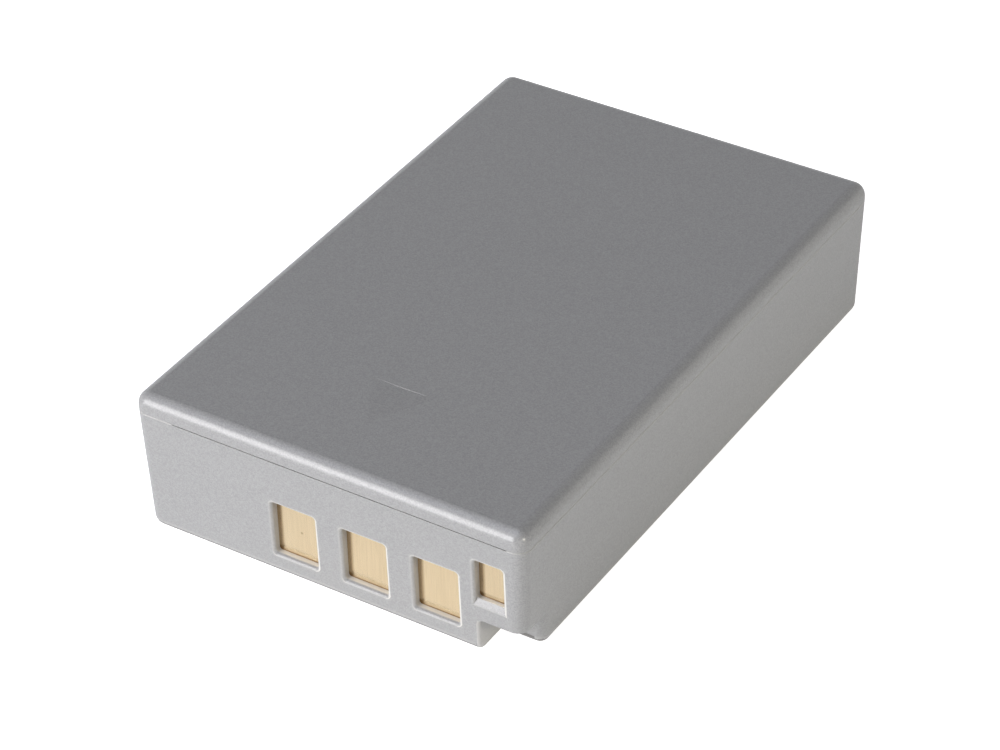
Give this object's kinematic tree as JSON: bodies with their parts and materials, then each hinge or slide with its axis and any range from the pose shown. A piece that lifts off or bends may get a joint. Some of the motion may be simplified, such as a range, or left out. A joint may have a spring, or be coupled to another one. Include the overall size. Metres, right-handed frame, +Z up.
{
  "type": "camera battery",
  "caption": "Flat rounded camera battery with contact windows and a key notch at one end and a recessed arrow on top; powers a camera.",
  "frame": {"origin": "middle of the underside", "axes": "+Z up through the lid, +Y along the length away from the contact end, +X to the key notch side"},
  "size_m": [0.0356, 0.055, 0.0128],
  "materials": {
    "housing_plastic": "satin silver-grey moulded plastic with a fine metallic speckle",
    "contact_gold": "bright gold plating with faint upright brushing",
    "board_laminate": "green lacquered glass laminate",
    "chip_resin": "black moulded resin",
    "chip_ceramic": "fired ceramic with tinned ends",
    "cell_can": "drawn aluminium can",
    "strap_nickel": "rolled nickel strip",
    "insulating_paper": "stiff insulating paper",
    "adhesive_film": "thin double-sided adhesive film",
    "foam": "dark closed-cell foam"
  },
  "bodies": {
    "root": {"case": "housing_plastic", "lid": "housing_plastic", "contact_plate_left": "contact_gold", "contact_plate_middle": "contact_gold", "contact_plate_right": "contact_gold", "contact_plate_small": "contact_gold", "protection_board": "board_laminate", "protection_chip": "chip_resin", "switch_transistor": "chip_resin", "thermistor": "chip_ceramic", "chip_resistors": "chip_ceramic", "chip_capacitors": "chip_ceramic", "lower_cell": "cell_can", "upper_cell": "cell_can", "positive_strap": "strap_nickel", "negative_strap": "strap_nickel", "series_strap": "strap_nickel", "cell_insulator": "insulating_paper", "cell_tape": "adhesive_film", "floor_tape": "adhesive_film", "lid_pad": "foam", "rear_pad": "foam"}
  },
  "joints": []
}
